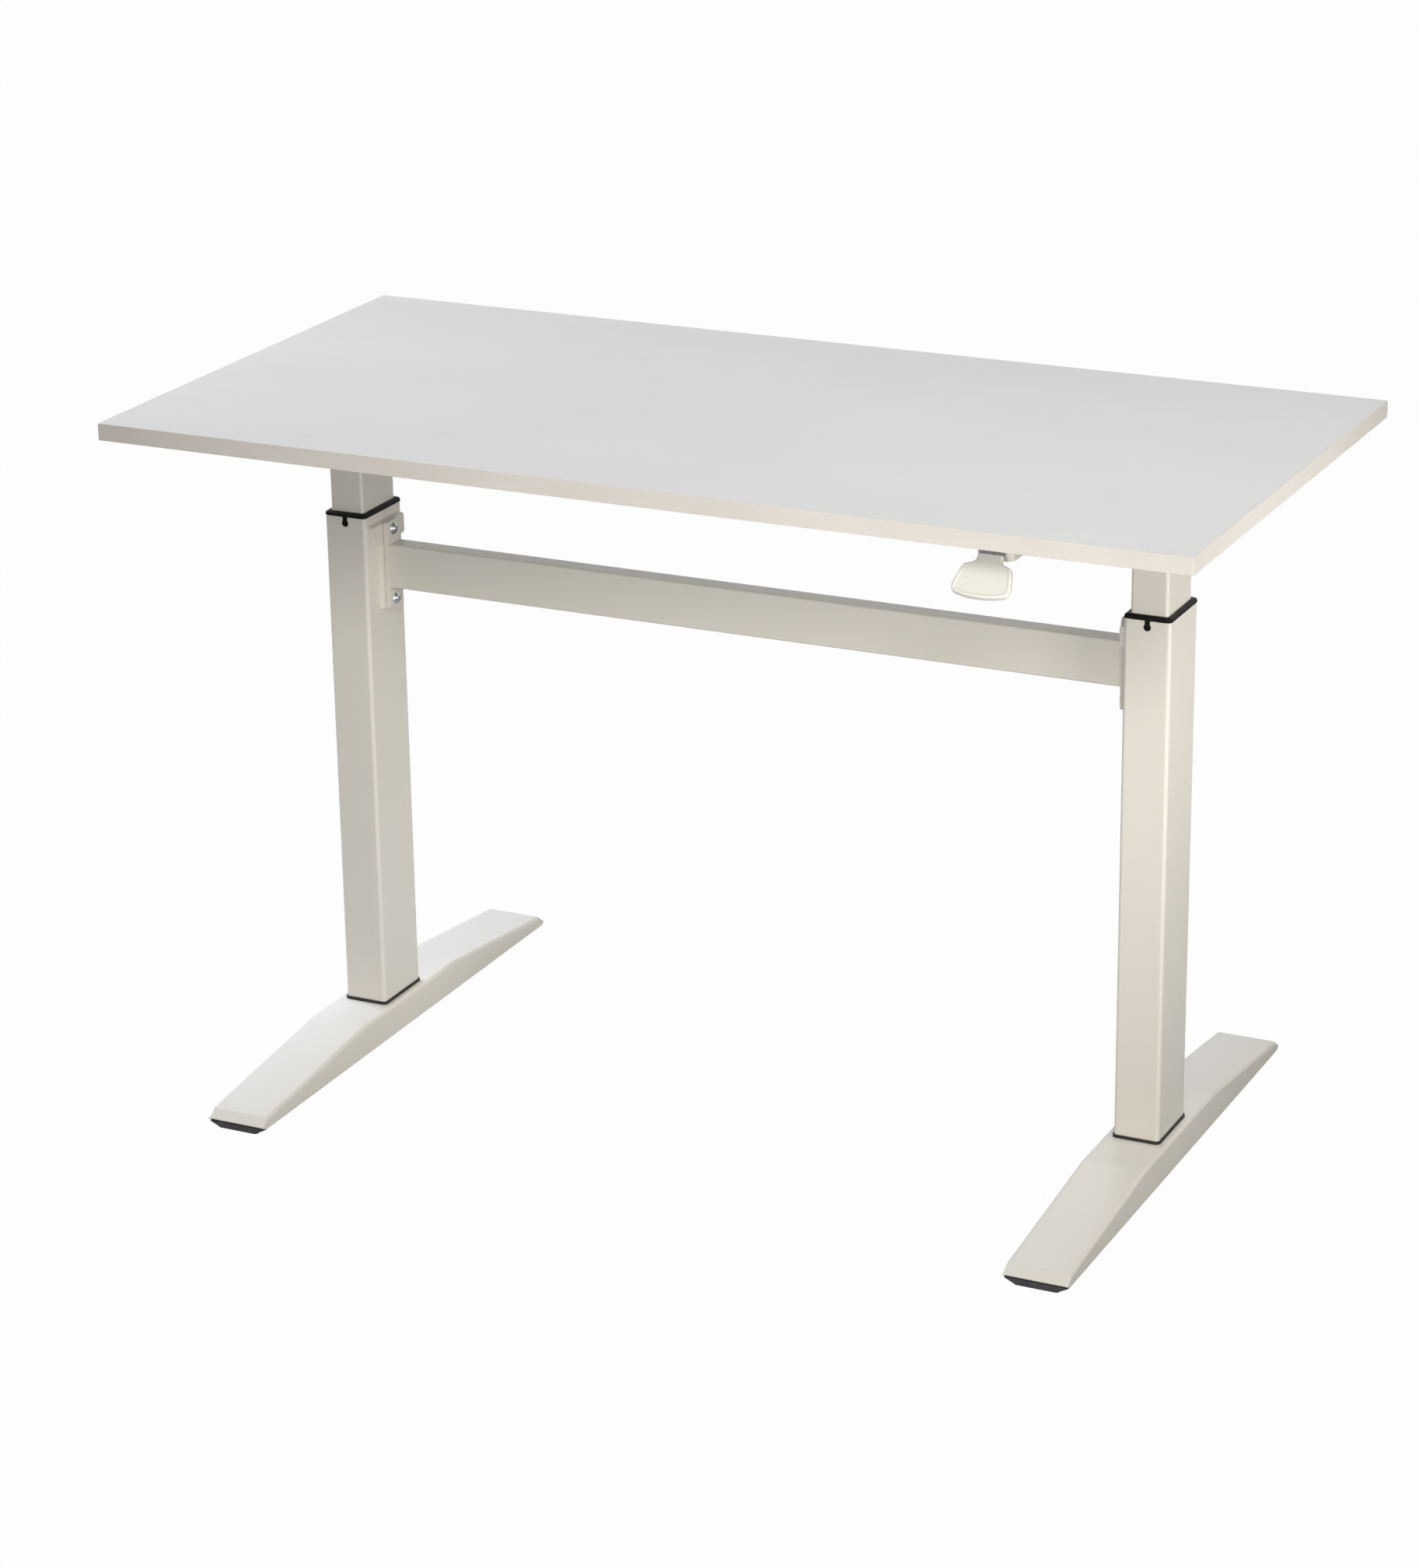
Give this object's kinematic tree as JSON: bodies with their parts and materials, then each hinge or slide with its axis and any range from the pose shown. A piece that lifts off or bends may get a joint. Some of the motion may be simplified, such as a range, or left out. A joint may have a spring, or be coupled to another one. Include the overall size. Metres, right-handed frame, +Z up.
{
  "type": "height adjustable standing desk",
  "caption": "Rectangular desk on telescoping columns with splayed flat feet, a crossbar and a squeeze paddle under the front edge that releases locking gas springs.",
  "frame": {"origin": "on the floor, midway between the two columns", "axes": "+Z up, +X to the seated user's right along the desk's width, the user sits on the -Y side"},
  "size_m": [1.2, 0.651, 0.77],
  "materials": {
    "frame_paint": "glossy ivory powder coat on pressed and tubular steel",
    "melamine": "chipboard faced with smooth white melamine",
    "edge_band": "warm white ABS edge band",
    "black_plastic": "moulded black nylon, lightly textured",
    "black_rubber": "moulded black rubber",
    "zinc": "bright zinc-plated steel",
    "spring_black": "black painted steel cylinder",
    "rod_chrome": "ground and hard-chromed steel rod",
    "cable_sheath": "black sheath over a coiled steel liner",
    "brass": "turned brass"
  },
  "bodies": {
    "stand": {"foot_left": "frame_paint", "foot_right": "frame_paint", "foot_pads": "black_plastic", "foot_plates": "zinc", "foot_bolts": "zinc", "gaskets": "black_rubber", "outer_column_left": "frame_paint", "outer_column_right": "frame_paint", "end_plates": "zinc", "gas_cylinder_left": "spring_black", "gas_cylinder_right": "spring_black", "cylinder_nuts": "zinc", "bumpers": "black_rubber", "collar_left": "black_plastic", "collar_right": "black_plastic", "tee_bracket_left": "frame_paint", "tee_bracket_right": "frame_paint", "crossbar": "frame_paint", "crossbar_flanges": "frame_paint", "crossbar_bolts": "zinc"},
    "desktop": {"tabletop": "melamine", "edge_band_front": "edge_band", "edge_band_back": "edge_band", "edge_bands_side": "edge_band", "inner_column_left": "frame_paint", "inner_column_right": "frame_paint", "slide_shoes": "black_plastic", "head_plates": "frame_paint", "support_arm_left": "frame_paint", "support_arm_right": "frame_paint", "rail_front": "frame_paint", "rail_back": "frame_paint", "rail_bolts": "zinc", "head_bolts": "zinc", "board_screws": "zinc", "gas_rod_left": "rod_chrome", "gas_rod_right": "rod_chrome", "rod_nuts": "zinc", "release_bracket_left": "zinc", "release_bracket_right": "zinc", "pivot_pins": "zinc", "cable_left": "cable_sheath", "cable_right": "cable_sheath", "cable_cores": "zinc", "cable_ferrules": "brass", "cable_clips": "black_plastic", "lever_housing": "frame_paint", "hinge_pin": "zinc"},
    "paddle": {"paddle_arm": "zinc", "paddle": "frame_paint", "paddle_nipples": "brass", "return_spring": "zinc"},
    "release_lever_left": {"release_lever_left": "zinc", "lever_nipple_left": "brass"},
    "release_lever_right": {"release_lever_right": "zinc", "lever_nipple_right": "brass"},
    "release_pin_left": {"release_pin_left": "rod_chrome"},
    "release_pin_right": {"release_pin_right": "rod_chrome"}
  },
  "joints": [
    {"name": "lift", "type": "slide", "parent": "stand", "child": "desktop", "axis": [0, 0, 1], "range_m": [0, 0.4]},
    {"name": "paddle", "type": "hinge", "parent": "desktop", "child": "paddle", "pos_m": [0.379, -0.234, 0.7435], "axis": [-1, 0, 0], "range_deg": [0, 20], "stiffness_Nm_per_rad": 0.5, "springref_deg": -11.46},
    {"name": "release_lever_left", "type": "hinge", "parent": "desktop", "child": "release_lever_left", "pos_m": [-0.4625, -0.016, 0.7413], "axis": [-1, 0, 0], "range_deg": [0, 12]},
    {"name": "release_lever_right", "type": "hinge", "parent": "desktop", "child": "release_lever_right", "pos_m": [0.4625, -0.016, 0.7413], "axis": [-1, 0, 0], "range_deg": [0, 12]},
    {"name": "release_pin_left", "type": "slide", "parent": "desktop", "child": "release_pin_left", "axis": [0, 0, -1], "range_m": [0, 0.0033]},
    {"name": "release_pin_right", "type": "slide", "parent": "desktop", "child": "release_pin_right", "axis": [0, 0, -1], "range_m": [0, 0.0033]}
  ],
  "couplings": [
    {"joint": "release_lever_left", "follows": "paddle", "ratio": 0.6},
    {"joint": "release_lever_right", "follows": "paddle", "ratio": 0.6},
    {"joint": "release_pin_left", "follows": "paddle", "m_per_rad": 0.00945},
    {"joint": "release_pin_right", "follows": "paddle", "m_per_rad": 0.00945}
  ]
}
